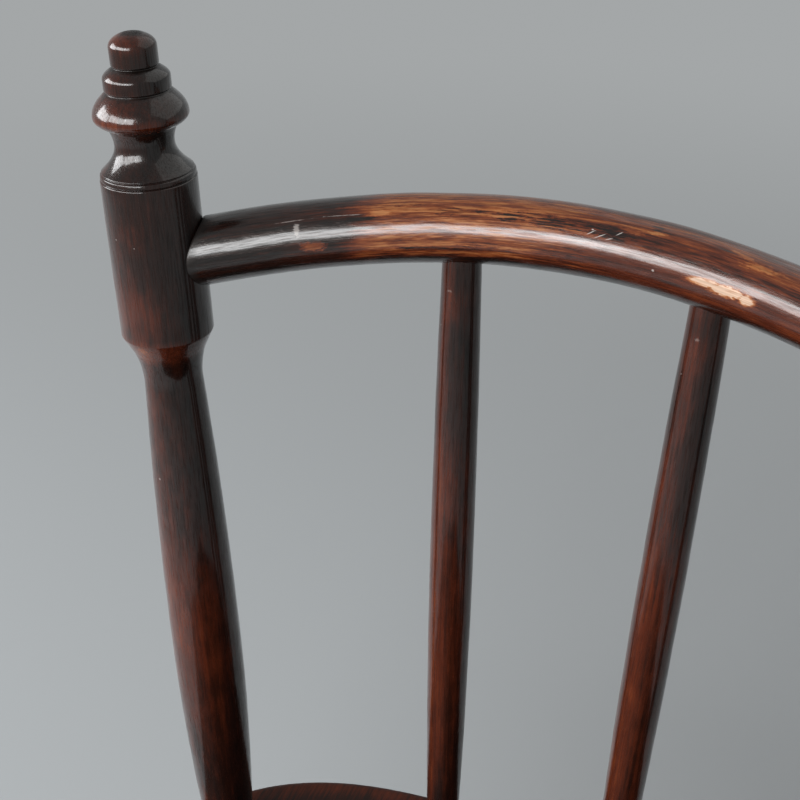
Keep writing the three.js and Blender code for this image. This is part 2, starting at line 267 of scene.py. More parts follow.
def turnedPiece(name, ends, first, stretches, sizes, seed, cover, levelFoot=False):
    # Radius over height carried round a straight axis. first is the outline's lowest height and its
    # radius there. turn is 0 at the chair's front, or on top of a piece that runs front to back.
    # cover(height, turn, wear) gives the finish.
    heights, radii = outline(*first, stretches)
    if "edge" in sizes:
        heights, radii = ease(heights, radii, sizes["edge"])
    heights, radii = thin(heights, radii, sizes["rings"])
    radii = np.maximum(radii, turning["tipRadius"])
    start, goal = (np.array(end, float) for end in ends)
    axis = unit(goal - start)
    lying = abs(axis[1]) >= turning["lying"]
    front = np.array([0.0, 0.0, 1.0]) if lying else np.array([0.0, -1.0, 0.0])
    front = unit(front - axis * (front @ axis))
    side = np.cross(axis, front)
    angle = np.linspace(-np.pi, np.pi, sizes["sides"] + 1)
    height, turn = np.meshgrid(heights, angle[:-1], indexing="ij")
    wear = edgeWear(heights, radii, turning["wearReach"])
    radius = radii[:, None] - handTurned(height, turn, turning["waves"], sizes["wobble"], seed)
    across = radius[..., None] * (np.cos(turn)[..., None] * front + np.sin(turn)[..., None] * side)
    if levelFoot:
        height = height - across[..., 2] / axis[2] * np.clip(1 - height / turning["levelling"], 0, 1)
    points = start + height[..., None] * axis + across
    wide = closed(height)
    around = np.broadcast_to(angle * drawing["unrolled"], wide.shape)
    worn = np.broadcast_to(wear[:, None], height.shape)
    left = cover(height, turn, worn)
    crease = np.clip(-worn * turning["creases"], 0, 1)
    grain = roundGrain(radius, turn, height, seed)
    fields = {"grain": grain, "cover": left, "crease": crease, "fray": frayed(left)}
    return putGrid(name, points, wide, around, fields)


# Heights are measured up a post's axis, from where it meets the rail's axis.
post = {
    "sides": 112,
    "rings": 300,
    "wobble": 0.16,
    "edge": 0.9,
    "socketDepth": 24,
    "socketRadius": 12.5,
    "shaftEnd": 58,  # below the rail's axis
    "swellShare": 0.45,
    "swellRadius": 17.5,
    "neckRadius": 13.5,
    "drumAndFinial": [
        ("leave", 16, 16.6),
        ("straight", 8.5, 21),
        ("straight", 72.3, 20.95),
        ("leave", 0.6, 20.1),  # a fine groove
        ("settle", 0.6, 20.75),
        ("straight", 1.4, 20.55),
        ("leave", 0.6, 19.6),  # the second groove
        ("settle", 0.6, 20.0),
        ("settle", 11.4, 12.9),
        ("leave", 7.5, 15),
        ("settle", 5, 20.5),
        ("leave", 9.6, 14.6),
        ("settle", 0.9, 13.7),
        ("settle", 0.7, 14.4),
        ("straight", 4.3, 14.4),
        ("leave", 4.3, 10.4),
        ("settle", 0.7, 9.4),
        ("settle", 0.8, 10.2),
        ("straight", 7.1, 10.2),
        ("dome", 6, 0),
    ],
}
# What is off the whole finish (1) of a post. Each band is its loss, from, to and softness in mm, and
# one with a minus keeps more.
postWear = {
    "everywhere": 0.13,
    "front": 0.05,
    "left": 0.09,  # painted light: the lit left side is lighter by this, and the shaded right side darker by as much
    "edges": 0.22,  # for each mm that an edge of the finial is proud by more than the next value
    "edgeMargin": 0.30,
    "finialFrom": 43,
    "allRound": {
        "foot": (-0.06, -400, -330, 20),
        "chamfer": (0.22, -44, -33, 6),
        "neck": (-0.06, 42, 60, 6),
        "discRim": (0.20, 61, 68, 4),
        "discTop": (0.07, 66, 78, 5),
        "knob": (0.17, 94, 112, 7),
    },
    "drumFoot": (0.13, -33, -8, 26),
    "drumFootTurn": (-1.1, 0.5, 0.9),  # from, to and softness in radians
    "swell": (0.20, -240, -140, 110),
    "swellBack": 0.3,  # the share of it that the back of the swell has
}


def postCover(height, turn, worn):
    # How thick the finish is, from 1 whole to 0 bare: rubbed on the drum's chamfer, the finial's proud
    # edges and the swell that a hand or a jacket meets, and thicker in the neck and at the foot
    front = facing(turn)
    # The lighter left side and darker right side are painted light, from the lamps on the left
    cover = 1 - postWear["everywhere"] - postWear["front"] * front + postWear["left"] * np.sin(turn)
    onFinial = height > postWear["finialFrom"]
    cover = cover - postWear["edges"] * np.clip(worn - postWear["edgeMargin"], 0, 1) * onFinial
    for spot in postWear["allRound"].values():
        cover = cover - band(height, spot)
    cover = cover - band(height, postWear["drumFoot"]) * hump(turn, *postWear["drumFootTurn"])
    back = postWear["swellBack"]
    return cover - band(height, postWear["swell"]) * (back + (1 - back) * front)


def postAxis(side):
    # Where a post's axis meets the rail's, and its direction. side is -1 for the left and 1 for the right.
    meeting = np.array([side * chair["halfSpan"], chair["jointForward"], chair["jointHeight"]])
    return meeting, unit(np.array([side * chair["splay"], chair["rake"], 1.0]))


def makePost(name, side, seed):
    meeting, lean = postAxis(side)
    shaft = seatDrop - post["shaftEnd"]
    stretches = [
        ("straight", post["socketDepth"], post["socketRadius"]),
        ("settle", shaft * post["swellShare"], post["swellRadius"]),
        ("leave", shaft * (1 - post["swellShare"]), post["neckRadius"]),
        *post["drumAndFinial"],
    ]
    first = (-seatDrop - post["socketDepth"], post["socketRadius"])
    return turnedPiece(name, (meeting, meeting + lean), first, stretches, post, seed, postCover)


rail = {
    "bow": 42.8,
    "arch": 24.1,
    "fullness": 0.18,
    "endRadius": 15.3,
    "middleRadius": 15.0,
    "drumRadius": 21.25,  # its ends are hollowed to the posts' drums
    "rimLength": 1.6,
    "rimDrop": 0.5,
    "rimRings": (0, 0.15, 0.4, 0.8, 1.3, 2.2, 3.2),  # mm from each rim
    "rimGap": 4.2,  # mm from each rim to the even rings between
    "tenonRadius": 9.0,
    "tenonStart": 0.02,  # past the rim, and the tenon's end from the rail's middle, in half spans
    "tenonEnd": 1.02,
    "tenonRun": (3, 12),  # the same two places in the wood's grain, in mm past the rim
    "tenonGrain": 0.6,
    "creaseLength": 5,
    "sides": 120,
    "rings": 420,
    "wobble": 0.22,
    "waves": (90, 22),
    "fineSteps": 4001,
    "searchFrom": 0.6,  # a rim is looked for between this share of the half span and the post's axis
    "halvings": 40,
}


def railAxis(across):
    # Point and direction of the rail's axis. across runs from -1 at the left post to 1 at the right
    # one. The arch is a parabola, and the bow is a parabola drawn in a little towards the middle.
    rise = 1 - across**2
    slope = -2 * across
    full = rail["fullness"]
    forward = chair["jointForward"] + rail["bow"] * rise * (1 - full + full * rise)
    forwardSlope = rail["bow"] * slope * (1 - full + 2 * full * rise)
    height = chair["jointHeight"] + rail["arch"] * rise
    point = np.stack([chair["halfSpan"] * across, forward, height], -1)
    heading = np.stack([chair["halfSpan"] + 0 * across, forwardSlope, rail["arch"] * slope], -1)
    return point, unit(heading)


def railSkin(across, turn):
    # The rail's round surface: turn is 0 on top, positive to the back and negative to the front.
    point, heading = railAxis(across)
    up = unit(np.array([0.0, 0.0, 1.0]) - heading[..., 2:] * heading)
    back = np.cross(up, heading)
    radius = rail["endRadius"] + (rail["middleRadius"] - rail["endRadius"]) * (1 - across**2)
    outwards = np.cos(turn)[..., None] * up + np.sin(turn)[..., None] * back
    return point, outwards, radius


def drumGap(points, side):
    # How far points are outside the drum of the post on that side
    meeting, lean = postAxis(side)
    away = points - meeting
    return np.linalg.norm(away - (away @ lean)[..., None] * lean, axis=-1) - rail["drumRadius"]


def railEnd(turn, side):
    # For each line along the rail, where it meets the drum: the interval is halved again and again
    inner, outer = np.full_like(turn, side * rail["searchFrom"]), np.full_like(turn, side * 1.0)
    for _ in range(rail["halvings"]):
        middle = (inner + outer) / 2
        point, outwards, radius = railSkin(middle, turn)
        outside = drumGap(point + radius[..., None] * outwards, side) > 0
        inner, outer = np.where(outside, middle, inner), np.where(outside, outer, middle)
    return inner


# The rail's wear. Places along it are mm from the left post's axis, and places round it are degrees,
# 0 on top and negative to the front. A patch is its amount, (from, to, softness) along, the same
# round, and how many mm its ends are ragged, with the seed of that.
railWear = {
    "everywhere": 0.07,
    "start": (95, 8, 0.10, 5),  # place, raggedness, slant in mm for each degree, seed
    "stop": (190, 12, 0.20, 6),
    "slantFrom": -40,
    "startSoft": 9,
    "stopSoft": 13,
    "rubbedTo": (300, 350),  # the red brown stretch fades out between these
    "worn": (0.53, -115, 36, 26),  # loss, and from, to and softness round the rail
    "rubbed": [(0.31, -122, 46, 34), (0.09, -34, 22, 24)],
    "patches": [
        (0.10, (48, 100, 26), (-50, 18, 26), 8, 8),
        (0.08, (60, 100, 20), (-125, -62, 20), 6, 9),
        (0.07, (104, 172, 24), (-44, 8, 18), 0, 0),
        (0.16, (70, 300, 90), (60, 150, 50), 0, 0),
    ],
    "fray": 0.42,
    "frayPatches": [
        (0.62, (92, 192, 24), (-125, 45, 30), 7, 5),
        (0.36, (192, 330, 24), (-62, 45, 30), 7, 6),
    ],
}


def raggedEnd(turn, end):
    place, ragged, slant, seed = end
    return place + ragged * streaky(np.radians(turn), seed) + slant * (turn - railWear["slantFrom"])


def patches(along, turn, listed):
    total = 0
    for amount, stretch, sector, ragged, seed in listed:
        moved = along + ragged * streaky(np.radians(turn), seed)
        total = total + amount * hump(moved, *stretch) * hump(turn, *sector)
    return total


def railCover(along, turn):
    # How thick the finish is over the rail. The left quarter is almost whole, the stretch after it is
    # worn down to orange wood on its front, and then comes a long red brown one. By the right post
    # the finish is whole again.
    pastStart = along - raggedEnd(turn, railWear["start"])
    pastStop = along - raggedEnd(turn, railWear["stop"])
    startSoft, stopSoft = railWear["startSoft"], railWear["stopSoft"]
    stopped = smoothRise(pastStop, -stopSoft, stopSoft)
    inWorn = smoothRise(pastStart, -startSoft, startSoft) * (1 - stopped)
    inRubbed = stopped * (1 - smoothRise(along, *railWear["rubbedTo"]))
    cover = 1 - railWear["everywhere"] - inWorn * band(turn, railWear["worn"])
    for spot in railWear["rubbed"]:
        cover = cover - inRubbed * band(turn, spot)
    return cover - patches(along, turn, railWear["patches"])


def railFray(along, turn):
    # How much the finish frays along the grain: strongly where it is worn, little where it is whole
    return railWear["fray"] + patches(along, turn, railWear["frayPatches"])


def makeRail(name, seed):
    # A round carried along the bent axis, each line of it cut off where it meets the drums
    turn = np.linspace(-np.pi, np.pi, rail["sides"] + 1)
    endLeft, endRight = railEnd(turn[:-1], -1), railEnd(turn[:-1], 1)
    fineAcross = np.linspace(-1, 1, rail["fineSteps"])
    finePoint = railAxis(fineAcross)[0]
    fineRun = np.concatenate([[0], np.cumsum(np.linalg.norm(np.diff(finePoint, axis=0), axis=1))])
    runLeft = np.interp(endLeft, fineAcross, fineRun)
    runRight = np.interp(endRight, fineAcross, fineRun)
    rim, gap = np.array(rail["rimRings"]), rail["rimGap"]
    share = np.linspace(0, 1, rail["rings"] - 2 * len(rim))[:, None]
    fromLeft = runLeft[None] + rim[:, None]
    fromRight = runRight[None] - rim[::-1, None]
    between = (runLeft + gap)[None] * (1 - share) + (runRight - gap)[None] * share
    run = np.concatenate([fromLeft, between, fromRight])
    across = np.interp(run, fineRun, fineAcross)
    angle = np.broadcast_to(turn[:-1], run.shape)
    point, outwards, radius = railSkin(across, angle)
    fromEnd = np.minimum(run - runLeft[None], runRight[None] - run)
    hidden = np.clip(1 - fromEnd / rail["rimLength"], 0, 1)
    radius = radius - rail["rimDrop"] * (1 - np.sqrt(1 - hidden**2))
    radius = radius - handTurned(run, angle, rail["waves"], rail["wobble"], seed)
    points = point + radius[..., None] * outwards

    # Past each rim the end closes inside the drum, on a tenon as thick as the CAD's.
    caps = []
    for side, row in ((-1, 0), (1, -1)):
        shoulder = across[row] + side * rail["tenonStart"]
        for place in (shoulder, np.full_like(shoulder, side * rail["tenonEnd"])):
            middle, outwards, _ = railSkin(place, angle[row])
            caps.append(middle + rail["tenonRadius"] * outwards)
    points = np.concatenate([[caps[1], caps[0]], points, [caps[2], caps[3]]])
    near, far = rail["tenonRun"]
    run = np.concatenate([run[:1] - far, run[:1] - near, run, run[-1:] + near, run[-1:] + far])
    angle = np.broadcast_to(turn[:-1], run.shape)
    first, last = radius[:1] * rail["tenonGrain"], radius[-1:] * rail["tenonGrain"]
    radius = np.concatenate([first, first, radius, last, last])
    fromEnd = np.minimum(run - runLeft[None], runRight[None] - run)
    wide = closed(run)
    around = np.broadcast_to(turn * drawing["unrolled"], wide.shape)
    fields = {
        "grain": roundGrain(radius, angle, run, seed),
        "cover": railCover(run, np.degrees(angle)),
        # painted shade: each end is darkened over its last creaseLength mm, where the rail meets a drum
        "crease": np.clip(1 - fromEnd / rail["creaseLength"], 0, 1),
        "fray": railFray(run, np.degrees(angle)),
    }
    return putGrid(name, points, wide, around, fields)


spindle = {
    "spacing": 108.5,
    "topRadius": 8.7,
    "swellRadius": 10.6,
    "endRadius": 8.0,
    "socketDepth": 20,
    "hidden": 13.2,  # inside the rail
    "stop": 2,  # short of the rail's axis
    "sides": 56,
    "rings": 150,
    "wobble": 0.14,
}
# Bands of wear are the loss and from, to and softness, in mm up the spindle or in radians round it.
spindleWear = {
    "everywhere": 0.10,
    "middle": (0.16, 60, 260, 110),
    "top": (0.06, 322, 338, 8),
    # painted light: the lit left side is lighter all along
    "left": (0.16, -1.7, -0.1, 0.9),
}


def slimStretches(sizes, straight, shown, straightEnd):
    # A slim turned rod: straight, swelling to its middle, slimmer again, and straight
    return [
        ("straight", straight, sizes["endRadius"]),
        ("settle", shown / 2, sizes["swellRadius"]),
        ("leave", shown / 2, sizes["topRadius"]),
        ("straight", straightEnd, sizes["topRadius"]),
    ]


def spindleCover(height, turn, worn):
    # Rubbed on the front, most in the middle and a little under the rail; lighter all along the left side,
    # which is painted light from the lamps on the left
    front = facing(turn)
    onFront = band(height, spindleWear["middle"]) + band(height, spindleWear["top"])
    return 1 - spindleWear["everywhere"] - onFront * front - band(turn, spindleWear["left"])


def makeSpindle(name, across, seed):
    share = across / chair["halfSpan"]
    top = railAxis(np.array(share))[0]
    lean = np.array([chair["splay"] * share, chair["rake"], 1.0])
    foot = top + lean * (chair["seatTop"] - top[2])
    length = float(np.linalg.norm(top - foot))
    shown = length - spindle["hidden"] - spindle["stop"]
    first = (-spindle["socketDepth"], spindle["endRadius"])
    stretches = slimStretches(spindle, spindle["socketDepth"], shown, spindle["hidden"])
    return turnedPiece(name, (foot, top), first, stretches, spindle, seed, spindleCover)


seat = {
    "frontWidth": 432.0,
    "backWidth": 408.0,
    "depth": 400.0,
    "squareness": 3.2,
    "edge": 6.0,
    "dishDepth": 8.0,
    "dishHalf": (165.0, 145.0),
    "dishForward": 10.0,
    "lip": 0.9,  # how softly the dish's edge is rubbed round
    "inside": 0.1,  # how far the rim stays inside the CAD's
    "wobble": 0.25,
    "waves": (260, 60),
    "waveWidth": 60,
    "sides": 240,
    "underRings": 24,
    "underStart": 0.01,  # the innermost ring, as a share of the rim
    "sideRings": 12,
    "bevelRings": 9,
    "topRings": 96,
    "topStart": 0.004,
    "topSpread": 0.9,
}
# The finish is rubbed where people sit, over the front edge, and along the rim
seatWear = {
    "everywhere": 0.14,
    "sitting": 0.36,
    "sittingReach": 1.15,  # in half sizes of the dish
    "sittingSoft": 0.85,
    "front": 0.30,
    "frontFrom": (120, 198),  # mm before the seat's middle
    "frontLevel": (418, 436),  # mm over the floor
    "rim": (0.16, 0.975, 1.5, 0.05),  # loss, and from, to and softness in shares of the rim
    "rimLevel": (425, 437),
    "under": 0.78,
    "underReach": 5,
}


def seatRim(turn, inset):
    # Outline of the seat: a rounded square whose half width tapers from the front to the back.
    squared = lambda value: np.sign(value) * np.abs(value) ** (2 / seat["squareness"])
    depthShare = squared(np.sin(turn))
    half = (seat["frontWidth"] + (seat["backWidth"] - seat["frontWidth"]) * (depthShare + 1) / 2) / 2
    x = half * squared(np.cos(turn))
    y = depthShare * seat["depth"] / 2
    away = np.hypot(x, y)
    return np.stack([x, y], -1) * (1 - inset / away)[..., None]


def makeSeat(name, seed):
    turn = np.linspace(0, 2 * np.pi, seat["sides"] + 1)
    edge = seat["edge"]
    bevel = np.linspace(0, np.pi / 2, seat["bevelRings"])
    topShare = np.linspace(seat["topStart"], 1, seat["topRings"]) ** seat["topSpread"]
    # Rings from the middle of the underside out to its edge, up the side and in over the top
    under, top = chair["seatUnder"], chair["seatTop"]
    rows = [(share, edge, under) for share in np.linspace(seat["underStart"], 1, seat["underRings"])]
    rows += [(1, edge * (1 - math.sin(b)), under + edge * (1 - math.cos(b))) for b in bevel[1:]]
    rows += [(1, 0, level) for level in np.linspace(under + edge, top - edge, seat["sideRings"])[1:]]
    rows += [(1, edge * (1 - math.cos(b)), top - edge * (1 - math.sin(b))) for b in bevel[1:]]
    rows += [(share, edge, top) for share in topShare[::-1][1:]]
    share, inset, level = (np.array(column, float)[:, None] for column in zip(*rows))
    angle = np.broadcast_to(turn[:-1], (len(rows), seat["sides"]))
    flat = seatRim(angle, inset + seat["inside"]) * share[..., None]
    x, y = flat[..., 0], flat[..., 1]
    level = np.broadcast_to(level, x.shape)
    reach = np.hypot(x / seat["dishHalf"][0], (y + seat["dishForward"]) / seat["dishHalf"][1])
    # The dish is a shallow cap as the CAD's is, with its lip rubbed round
    hollow = seat["lip"] * np.logaddexp(0, seat["dishDepth"] * (1 - reach**2) / seat["lip"])
    isTop = np.arange(len(rows))[:, None] >= len(rows) - len(topShare)
    uneven = handTurned(y, x / seat["waveWidth"], seat["waves"], seat["wobble"], seed) * (share < 1)
    level = level - np.where(isTop, np.minimum(hollow, seat["dishDepth"]) + uneven, 0)
    points = np.stack([x, y + chair["seatMiddle"], level], -1)
    grain = np.stack([x, level, y], -1) + woodPlace(seed)
    sitting = np.clip(seatWear["sittingReach"] - reach, 0, 1)
    atFront = smoothRise(-y, *seatWear["frontFrom"]) * smoothRise(level, *seatWear["frontLevel"])
    atRim = band(share + 0 * x, seatWear["rim"]) * smoothRise(level, *seatWear["rimLevel"])
    cover = 1 - seatWear["everywhere"] - seatWear["front"] * atFront - atRim
    cover = cover - seatWear["sitting"] * smoothRise(sitting, 0, seatWear["sittingSoft"])
    cover = np.where(level < under + seatWear["underReach"], seatWear["under"], cover)
    fields = {"grain": grain, "cover": cover, "crease": 0 * x, "fray": frayed(cover)}
    return putGrid(name, points, closed(x), closed(y), fields)


leg = {
    "footRadius": 13.0,
    "footRound": 1.2,  # how much narrower the foot's lower edge is, and over what height
    "footRise": 1.6,
    "swellRadius": 18.5,
    "swellShare": 0.42,
    "ringShare": 0.86,
    "ringRadius": 18.0,
    "ringHalf": 5.0,
    "neckRadius": 14.0,
    "endRadius": 12.5,
    "socketDepth": 22.0,
    "edge": 1.2,
    "sides": 72,
    "rings": 190,
    "wobble": 0.18,
    "ends": {  # foot and socket, with y measured from the post axes at the rail
        "front_left_leg": ((-184.0, -340.722, 0.0), (-138.0, -298.722, 406.0)),
        "front_right_leg": ((184.0, -340.722, 0.0), (138.0, -298.722, 406.0)),
        "back_left_leg": ((-176.0, -1.356, 0.0), (-120.0, -75.356, 406.0)),
        "back_right_leg": ((176.0, -1.356, 0.0), (120.0, -75.356, 406.0)),
    },
}
stretcher = {
    "endRadius": 7.0,
    "topRadius": 7.0,  # its other end
    "swellRadius": 10.5,
    "stop": 8.5,  # from the leg's axis to the stretcher's end
    "hidden": 10.0,  # how much of each end is straight
    "sides": 52,
    "rings": 110,
    "wobble": 0.14,
    "between": {
        "front_lower_stretcher": ("front_left_leg", "front_right_leg", 182.0),
        "front_upper_stretcher": ("front_left_leg", "front_right_leg", 302.0),
        "left_lower_stretcher": ("front_left_leg", "back_left_leg", 142.0),
        "left_upper_stretcher": ("front_left_leg", "back_left_leg", 262.0),
        "right_lower_stretcher": ("front_right_leg", "back_right_leg", 142.0),
        "right_upper_stretcher": ("front_right_leg", "back_right_leg", 262.0),
        "back_stretcher": ("back_left_leg", "back_right_leg", 222.0),
    },
}


def legEnds(name):
    foot, socket = (np.array(end) for end in leg["ends"][name])
    forward = np.array([0.0, chair["jointForward"], 0.0])
    return foot + forward, socket + forward


legWear = {
    "everywhere": 0.13,
    "foot": 0.20,
    "footFade": (2, 60),
    "edges": (0.26, 0.8),  # the most that a proud edge loses, and how fast it gets there
    "swell": (0.14, 120, 240, 90),
}
stretcherWear = {"everywhere": 0.12, "middle": (0.34, 70, 280, 110)}


def legCover(height, turn, worn):
    # Scuffed at the foot, rubbed on the ring and a little on the front of the swell
    mostLoss, speed = legWear["edges"]
    cover = 1 - legWear["everywhere"] - legWear["foot"] * (1 - smoothRise(height, *legWear["footFade"]))
    cover = cover - mostLoss * np.clip(worn * speed, 0, 1)
    return cover - band(height, legWear["swell"]) * facing(turn)


def makeLeg(name, node, seed):
    foot, socket = legEnds(node)
    length = float(np.linalg.norm(socket - foot))
    swell = leg["swellShare"] * length
    ring = leg["ringShare"] * length - leg["ringHalf"]
    first = (0, leg["footRadius"] - leg["footRound"])
    stretches = [
        ("settle", leg["footRise"], leg["footRadius"]),
        ("settle", swell - leg["footRise"], leg["swellRadius"]),
        ("leave", ring - swell, leg["neckRadius"]),
        ("settle", leg["ringHalf"], leg["ringRadius"]),
        ("leave", leg["ringHalf"], leg["neckRadius"]),
        ("straight", length - ring - 2 * leg["ringHalf"], leg["endRadius"]),
        ("straight", leg["socketDepth"], leg["endRadius"]),
    ]
    return turnedPiece(name, (foot, socket), first, stretches, leg, seed, legCover, levelFoot=True)


def stretcherCover(height, turn, worn):
    # Shoes rub the middle of a stretcher, on its front, or on top of one that runs front to back
    rubbed = band(height, stretcherWear["middle"]) * facing(turn)
    return 1 - stretcherWear["everywhere"] - rubbed


def makeStretcher(name, node, seed):
    fromLeg, toLeg, level = stretcher["between"][node]
    share = level / chair["seatUnder"]
    ends = []
    for legName in (fromLeg, toLeg):
        foot, socket = legEnds(legName)
        ends.append(foot + (socket - foot) * share)
    length = float(np.linalg.norm(ends[1] - ends[0]))
    shown = length - 2 * (stretcher["stop"] + stretcher["hidden"])
    first = (stretcher["stop"], stretcher["endRadius"])
    stretches = slimStretches(stretcher, stretcher["hidden"], shown, stretcher["hidden"])
    return turnedPiece(name, ends, first, stretches, stretcher, seed, stretcherCover)


def writes(operation, swapped=False):
    # A method that writes a Math node
    def method(self, other):
        return self.sheet.maths(operation, *((other, self) if swapped else (self, other)))

    return method


class Signal:
    # A node's output, on which + - * / write Math nodes
    def __init__(self, sheet, socket):
        self.sheet, self.socket = sheet, socket

    __add__ = __radd__ = writes("ADD")
    __mul__ = __rmul__ = writes("MULTIPLY")
    __sub__, __rsub__ = writes("SUBTRACT"), writes("SUBTRACT", swapped=True)
    __truediv__ = writes("DIVIDE")


class Sheet:
    # The node tree of one material, or of the world
    def __init__(self, owner):
        owner.use_nodes = True
        self.owner, self.tree = owner, owner.node_tree
        self.tree.nodes.clear()

    def add(self, kind, settings=None, inputs=None, output=0):
        node = self.tree.nodes.new("ShaderNode" + kind)
        for key, value in (settings or {}).items():
            if key == "stops":
                while len(node.color_ramp.elements) < len(value):
                    node.color_ramp.elements.new(0.5)
                for element, (position, colour) in zip(node.color_ramp.elements, value):
                    element.position, element.color = position, (*colour, 1)
            else:
                setattr(node, key, value)
        for key, value in (inputs or {}).items():
            if isinstance(value, Signal):
                self.tree.links.new(value.socket, node.inputs[key])
            else:
                node.inputs[key].default_value = value
        return Signal(self, node.outputs[output]) if node.outputs else None

    def maths(self, operation, *values):
        return self.add("Math", {"operation": operation}, dict(enumerate(values)))

    def rise(self, value, low, high):
        # 0 below low and 1 above high, with a smooth S between
        settings = {"interpolation_type": "SMOOTHSTEP", "clamp": True}
        return self.add("MapRange", settings, {"Value": value, "From Min": low, "From Max": high})

    def clamp(self, value, low=0.0, high=1.0):
        return self.add("Clamp", {}, {"Value": value, "Min": low, "Max": high})

    def blend(self, factor, first, second):
        inputs = {0: factor}
        for key, value in ((6, first), (7, second)):
            inputs[key] = value if isinstance(value, Signal) else (*value, 1)
        return self.add("Mix", {"data_type": "RGBA", "clamp_factor": True}, inputs, 2)


# Single marks in the finish, the rail's as the photograph shows them: (place along in mm, turn in
# degrees, half length and half height in mm, tilt in degrees, raggedness, strength). The strength of
# a worn mark is how much finish goes and that of a dark one how much more is kept. Pale marks are
# scuffs and scratches.
railMarks = {
    "worn": [
        (72.6, -84, 6.0, 2.3, -2, 0.35, 0.58),
        (245.0, -77, 9.0, 2.1, 4, 0.22, 0.66),
        (254.5, -78.5, 10.0, 2.7, 2, 0.26, 0.72),
        (263.2, -81, 4.0, 2.6, 0, 0.22, 0.68),
        (219.5, -24, 4.8, 0.8, 8, 0.50, 0.34),
        (256.0, -17, 6.5, 1.0, -10, 0.60, 0.26),
        (264.0, -25, 7.5, 2.2, 6, 0.70, 0.24),
        (49.5, -85, 3.4, 0.6, 0, 0.60, 0.24),
        (209.0, -31, 6.0, 1.0, -4, 0.70, 0.22),
        (101.0, -37, 5.0, 1.2, 0, 0.80, 0.20),
        (92.0, -22, 9.0, 0.6, 0, 0.80, 0.18),
    ],
    "dark": [
        (219.0, -12, 2.4, 1.7, 0, 0.30, 0.60),
        (133.0, -36, 7.5, 1.5, 0, 0.75, 0.55),
        (147.0, -34, 5.0, 0.7, 0, 0.80, 0.40),
        (159.5, -39, 8.0, 2.3, 0, 0.80, 0.55),
        (171.0, -30, 6.0, 0.8, 0, 0.80, 0.40),
        (177.0, -42, 13.0, 2.6, 0, 0.80, 0.55),
        (197.5, -42, 11.0, 2.6, 0, 0.80, 0.42),
        (205.0, -50, 4.0, 1.2, 0, 0.70, 0.30),
        (114.0, -24, 6.0, 0.7, 0, 0.70, 0.45),
        (232.0, -8, 3.5, 0.9, 0, 0.60, 0.30),
        (120.0, -98, 12.0, 0.7, 0, 0.80, 0.40),
        (150.0, -92, 10.0, 0.6, 0, 0.80, 0.40),
    ],
    "pale": [
        (66.2, -54, 1.3, 2.8, 0, 0.60, 0.42),
        (64.5, -38, 6.5, 0.16, 1, 0.60, 0.34),
        (87.0, -37, 7.5, 0.18, -1, 0.60, 0.36),
        (193.6, -47, 2.2, 0.20, 36, 0.30, 0.75),
        (197.6, -50, 2.6, 0.18, 30, 0.30, 0.75),
        (201.5, -52, 1.6, 0.20, 22, 0.30, 0.70),
        (205.2, -40, 1.8, 0.20, 40, 0.30, 0.75),
        (194.0, -42, 0.5, 0.35, 0, 0.20, 0.75),
        (222.6, -83, 0.6, 0.45, 0, 0.30, 0.55),
    ],
}
postMarks = {
    "worn": [(-37.0, -8, 2.0, 3.0, 0, 0.8, 0.15)],
    "dark": [(-12.0, 62, 30.0, 4.0, 0, 0.5, 0.06)],
    "pale": [(16.1, -21, 0.30, 0.24, 0, 0.2, 0.45), (13.7, 5, 0.22, 0.20, 0, 0.2, 0.4)],
}
spindleMarks = {
    "worn": [(334.0, -12, 5.0, 1.2, 0, 0.8, 0.10)],
    "dark": [(300.0, 40, 30.0, 2.0, 0, 0.6, 0.08)],
    "pale": [(319.0, -45, 0.4, 0.3, 0, 0.3, 0.4), (337.0, -14, 0.5, 1.8, 0, 0.8, 0.15)],
}

# The finish from bare wood (0) to whole varnish (1)
finishStops = [
    (0.00, (0.490, 0.330, 0.235)),
    (0.10, (0.305, 0.118, 0.040)),
    (0.24, (0.228, 0.067, 0.018)),
    (0.42, (0.124, 0.0265, 0.0070)),
    (0.62, (0.058, 0.0102, 0.0034)),
    (0.82, (0.0125, 0.0028, 0.0013)),
    (1.00, (0.0020, 0.0010, 0.0008)),
]

# A mark's mask falls from 1 to 0 between these shares of its size, moved by the raggedness.
markEdge = {"inner": 0.55, "outer": 1.25, "ragged": 5}

# Each pattern in the finish is a noise over the wood in mm: its scale across the grain, how much of
# that it has along the grain, its detail, its roughness and its distortion.
patterns = {
    "fibres": (2.1, 0.022, 3.0, 0.60, 0.0),
    "streaks": (0.50, 0.035, 3.0, 0.55, 0.2),
    "dashes": (1.15, 0.085, 3.0, 0.65, 0.0),
    "mottles": (0.16, 0.40, 3.0, 0.60, 0.0),
    "blotches": (0.055, 0.30, 3.0, 0.60, 0.0),
    "chips": (0.12, 0.45, 4.0, 0.65, 0.0),
    "ragged": (1.1, 0.35, 4.0, 0.70, 0.0),
    "rubbed": (1.7, 0.05, 2.0, 0.60, 0.0),
    "lumps": (0.28, 0.55, 3.0, 0.60, 0.0),
}


def markMask(sheet, along, around, ragged, mark):
    # An ellipse round the mark's middle in the surface's own measures, its edge moved by the noise
    middle, turn, halfLength, halfHeight, tilt, rough, strength = mark
    cosine, sine = math.cos(math.radians(tilt)), math.sin(math.radians(tilt))
    x = along - middle
    y = around - math.radians(turn) * drawing["unrolled"]
    u = (x * cosine + y * sine) / halfLength
    v = (y * cosine - x * sine) / halfHeight
    distance = sheet.maths("SQRT", u * u + v * v) + (ragged - 0.5) * (rough * markEdge["ragged"])
    return (1 - sheet.rise(distance, markEdge["inner"], markEdge["outer"])) * strength


